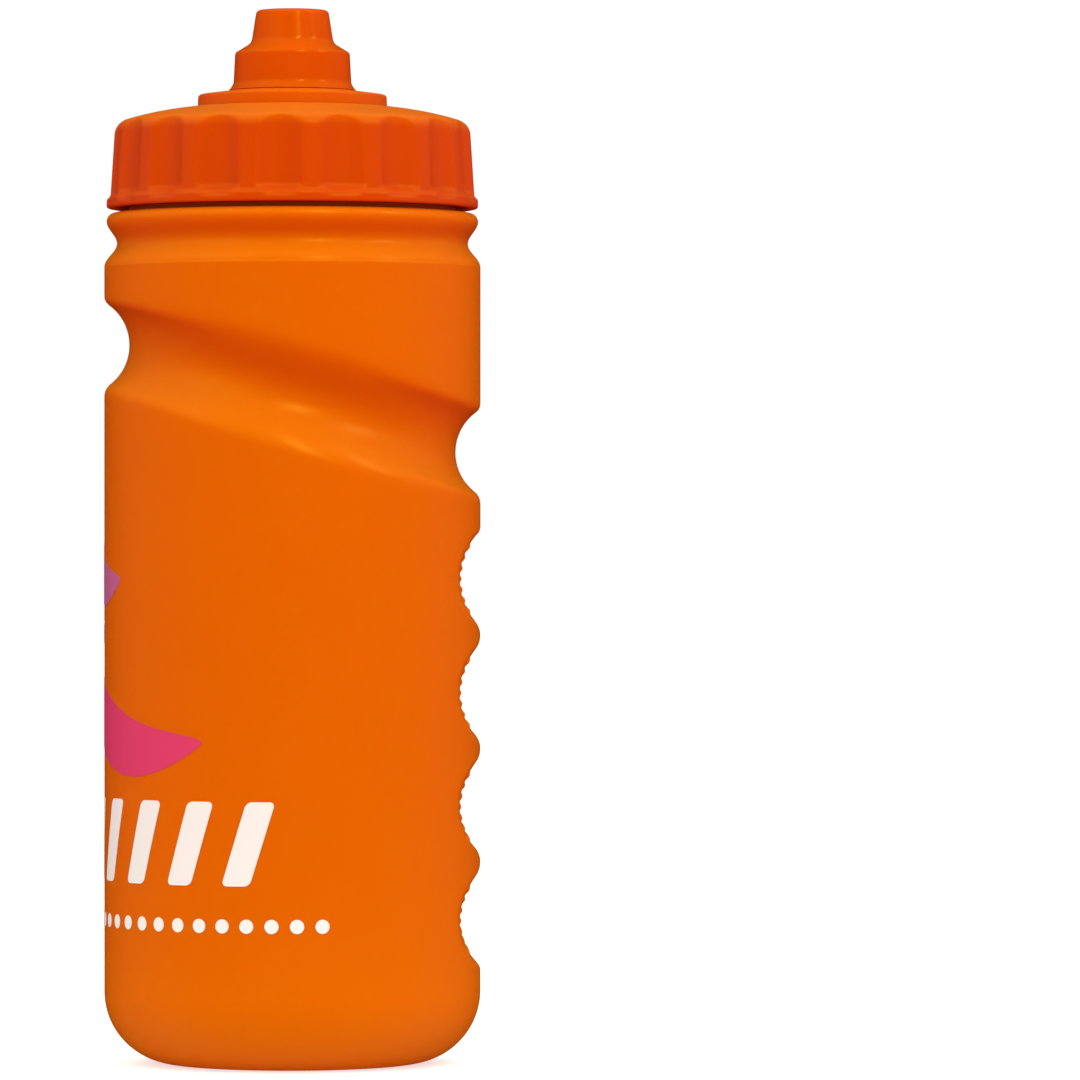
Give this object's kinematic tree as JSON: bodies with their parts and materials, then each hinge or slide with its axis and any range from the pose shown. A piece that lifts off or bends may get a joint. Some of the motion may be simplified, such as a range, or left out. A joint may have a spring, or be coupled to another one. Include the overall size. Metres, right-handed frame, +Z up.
{
  "type": "sports squeeze bottle",
  "caption": "Squeezable sports bottle with a slanting thumb groove, finger grooves, a fluted screw cap and a pull-up drinking mouthpiece.",
  "frame": {"origin": "middle of the base, on the surface that the bottle stands on, on the bottle's axis", "axes": "+Z up along the bottle's axis, -Y the front of the bottle, +Y the side with the finger grooves"},
  "size_m": [0.073, 0.073, 0.2042],
  "materials": {
    "body_plastic": "satin soft polyethylene, slightly translucent",
    "cap_plastic": "satin moulded polypropylene",
    "soft_mouthpiece": "soft satin elastomer",
    "valve_plastic": "smooth moulded polypropylene",
    "seal_rubber": "matt silicone"
  },
  "bodies": {
    "bottle": {"bottle_body": "body_plastic"},
    "seal": {"cap_seal": "seal_rubber"},
    "cap": {"screw_cap": "cap_plastic", "spout_base": "cap_plastic", "base_seal": "seal_rubber", "post_o_ring": "seal_rubber", "closing_pin": "valve_plastic"},
    "mouthpiece": {"pull_sleeve": "valve_plastic", "mouthpiece": "soft_mouthpiece"}
  },
  "joints": [
    {"name": "cap_lift", "type": "slide", "parent": "bottle", "child": "seal", "axis": [0, 0, 1], "range_m": [0, 0.021]},
    {"name": "cap_turn", "type": "hinge", "parent": "seal", "child": "cap", "pos_m": [0, 0, 0.1656], "axis": [0, 0, 1], "range_deg": [0, 1260]},
    {"name": "mouthpiece_pull", "type": "slide", "parent": "cap", "child": "mouthpiece", "axis": [0, 0, 1], "range_m": [0, 0.0048]}
  ],
  "couplings": [
    {"joint": "cap_lift", "follows": "cap_turn", "m_per_rad": 0.00095493}
  ]
}
